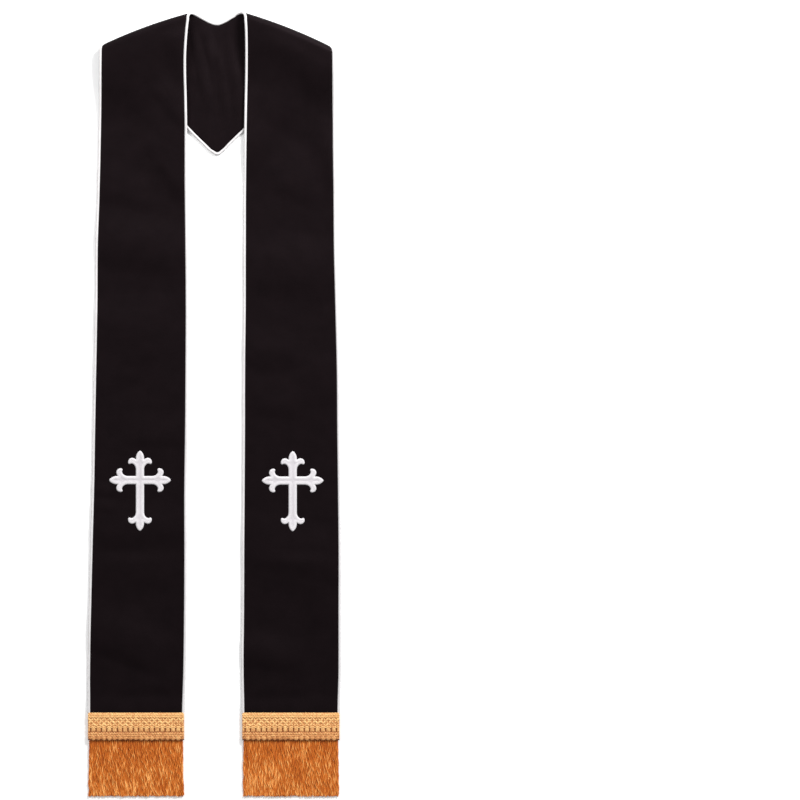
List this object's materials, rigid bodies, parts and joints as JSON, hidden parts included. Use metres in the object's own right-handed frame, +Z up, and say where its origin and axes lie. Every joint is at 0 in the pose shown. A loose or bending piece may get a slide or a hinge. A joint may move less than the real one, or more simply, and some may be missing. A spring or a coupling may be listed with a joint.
{
  "type": "clerical stole",
  "caption": "Black clerical stole laid flat, with a pointed back, white piping, an embroidered cross on each front, and gold braid and fringe at the hems.",
  "frame": {"origin": "on the surface that the stole lies on, below the centre of its outline", "axes": "+Y from the hems to the shoulders, +X to the right as seen from above, +Z up from the surface to the front side"},
  "size_m": [0.3808, 1.1768, 0.0202],
  "materials": {
    "black_cloth": "matte satin weave",
    "white_piping": "matte",
    "white_thread": "satin stitch",
    "gold_braid": "woven metallic thread",
    "gold_fringe": "glossy rayon"
  },
  "bodies": {
    "root": {"left_half": "black_cloth", "right_half": "black_cloth", "left_outer_piping": "white_piping", "left_inner_piping": "white_piping", "right_outer_piping": "white_piping", "right_inner_piping": "white_piping", "left_cross": "white_thread", "right_cross": "white_thread", "left_braid": "gold_braid", "right_braid": "gold_braid", "left_fringe": "gold_fringe", "right_fringe": "gold_fringe"}
  },
  "joints": []
}
